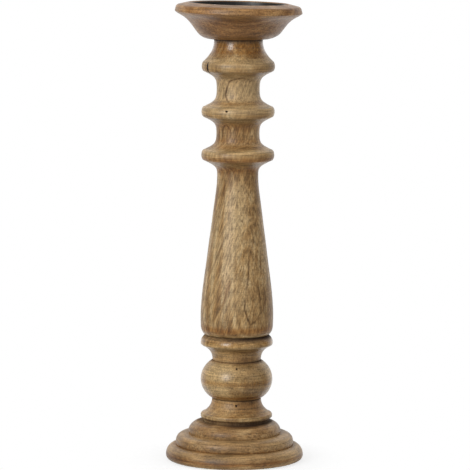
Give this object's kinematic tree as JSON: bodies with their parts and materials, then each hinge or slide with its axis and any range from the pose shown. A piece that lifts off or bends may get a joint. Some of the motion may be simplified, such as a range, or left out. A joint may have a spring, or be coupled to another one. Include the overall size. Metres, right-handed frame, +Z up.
{
  "type": "candle holder",
  "caption": "Turned wooden pillar candle holder: stepped round foot, ball section, tapered column with rings, and a moulded dish with a loose black metal pan.",
  "frame": {"origin": "on the ground under the turning axis, in the plane of the felt pads' undersides", "axes": "+Z up along the turning axis from the foot to the dish; the part is round, and the picture looks along +Y with +X to the right"},
  "size_m": [0.151, 0.151, 0.502],
  "materials": {
    "wood": "mango-type hardwood, brown stain and satin wax, dark in the grooves and lighter on worn crests",
    "dowel_wood": "plain beech dowel, unfinished",
    "black_enamel": "pressed sheet steel in satin black",
    "zinc_steel": "zinc-plated steel",
    "felt": "dark brown self-adhesive felt"
  },
  "bodies": {
    "stand": {"foot": "wood", "ball_section": "wood", "column": "wood", "dish": "wood", "column_dowel": "dowel_wood", "foot_screw": "zinc_steel", "foot_washer": "zinc_steel", "dish_screw": "zinc_steel", "felt_pad_1": "felt", "felt_pad_2": "felt", "felt_pad_3": "felt", "felt_pad_4": "felt"},
    "pan": {"pan": "black_enamel"}
  },
  "joints": [
    {"name": "pan_lift", "type": "slide", "parent": "stand", "child": "pan", "axis": [0, 0, 1], "range_m": [0, 0.06]}
  ]
}
